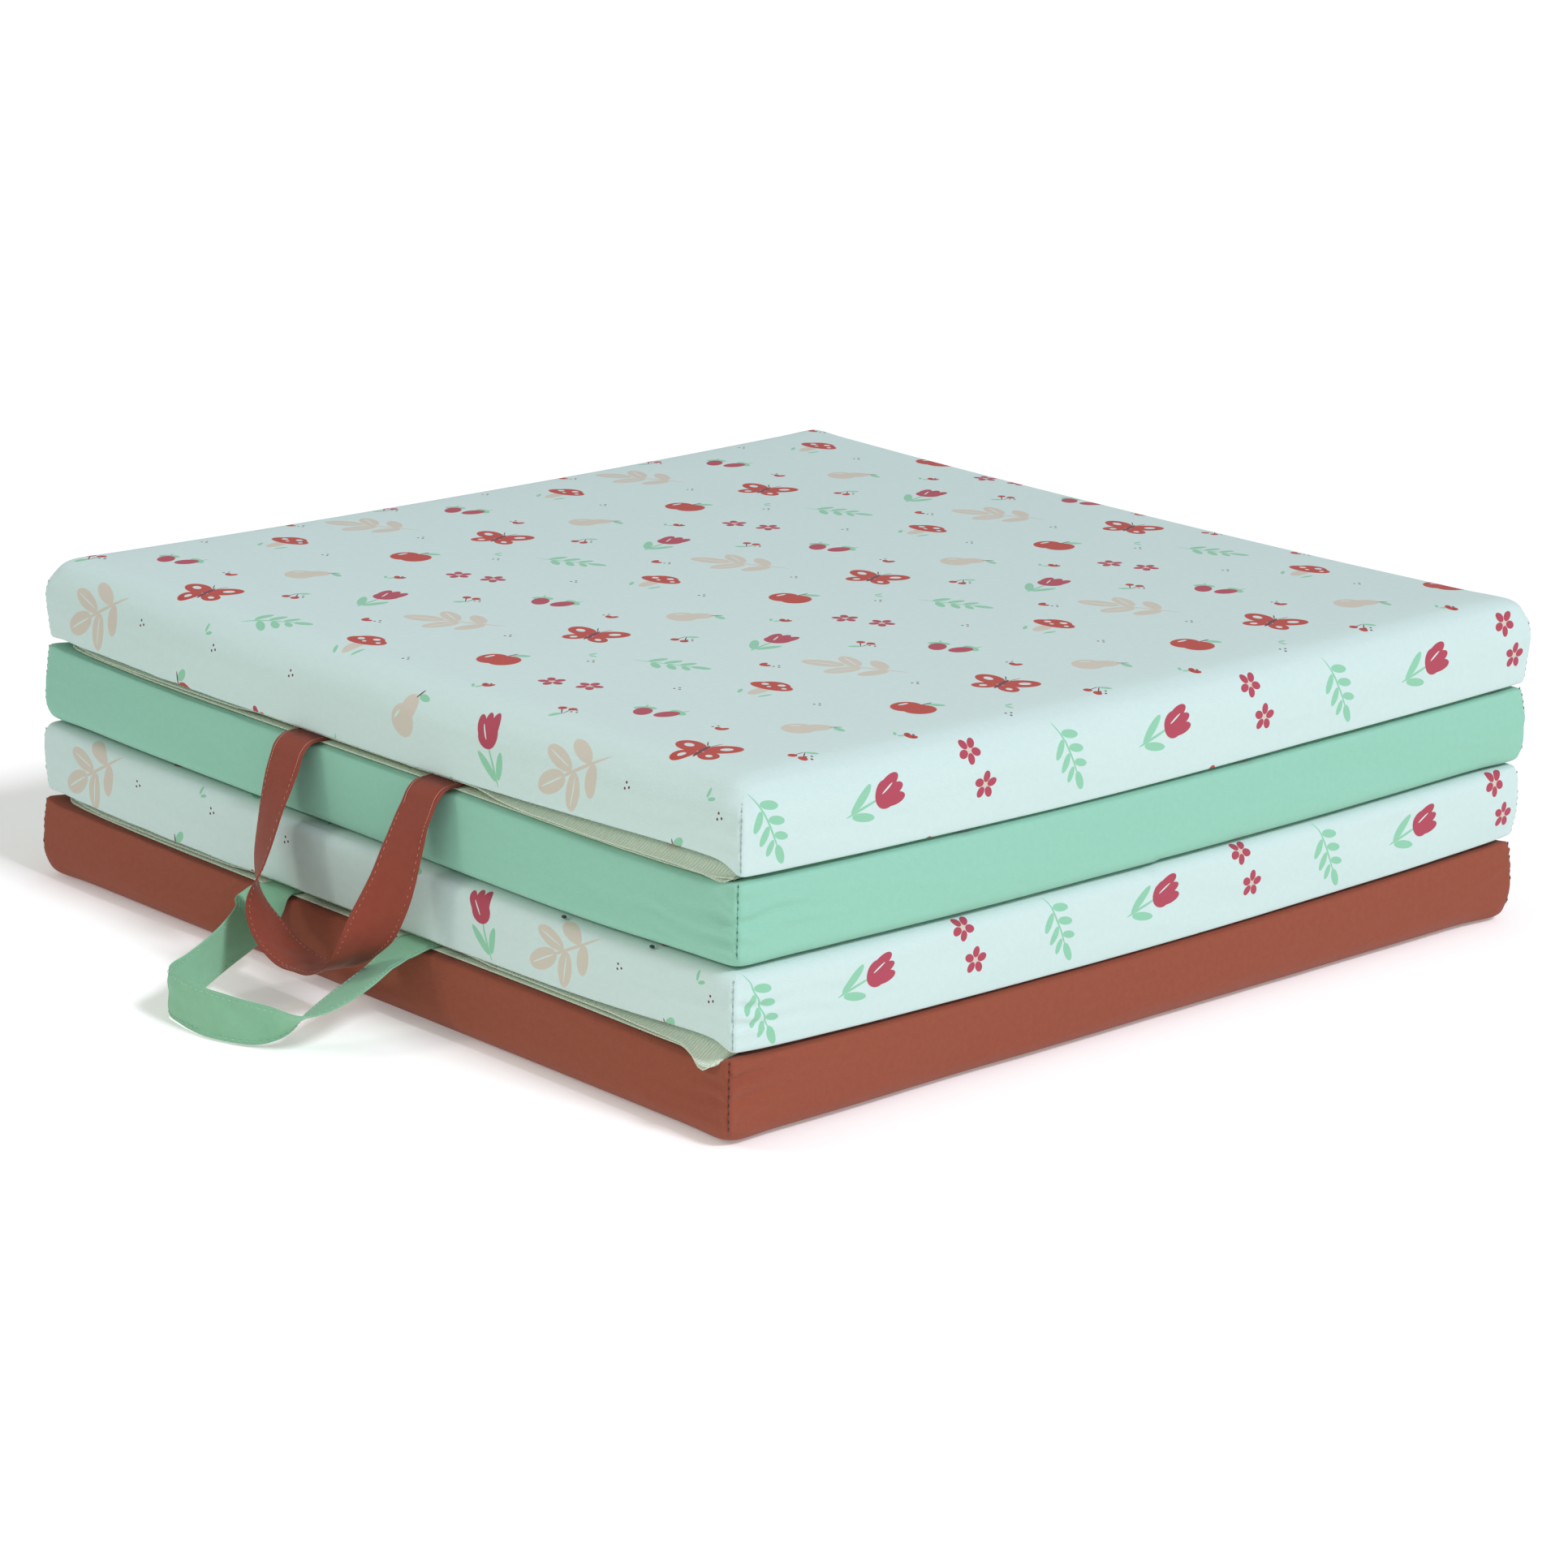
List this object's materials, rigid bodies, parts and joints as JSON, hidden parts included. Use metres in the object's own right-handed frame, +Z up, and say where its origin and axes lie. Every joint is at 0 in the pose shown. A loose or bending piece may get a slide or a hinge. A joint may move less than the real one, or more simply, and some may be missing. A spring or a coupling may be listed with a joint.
{
  "type": "folding baby play mat",
  "caption": "Folding foam play mat for babies, folded into a square stack, in printed and plain cotton covers, with ribbed base cloths between the panels and flat strap handles.",
  "frame": {"origin": "middle of the bottom panel's underside, on the surface that the mat rests on", "axes": "+Z up; -Y towards the handles; +X towards the side where each pair of panels is hinged"},
  "size_m": [0.6055, 0.7089, 0.1902],
  "materials": {
    "printed_cotton": "pale ice blue cotton with a small print",
    "mint_cotton": "plain woven cotton",
    "rust_cotton": "plain woven cotton",
    "ribbed_cloth": "ribbed backing cloth",
    "rust_strap": "flat cotton strap, topstitched",
    "mint_strap": "flat cotton strap, topstitched"
  },
  "bodies": {
    "root": {"top_panel": "printed_cotton", "second_panel": "mint_cotton", "third_panel": "printed_cotton", "bottom_panel": "rust_cotton", "upper_base_cloth": "ribbed_cloth", "lower_base_cloth": "ribbed_cloth", "upper_handle": "rust_strap", "lower_handle": "mint_strap"}
  },
  "joints": []
}
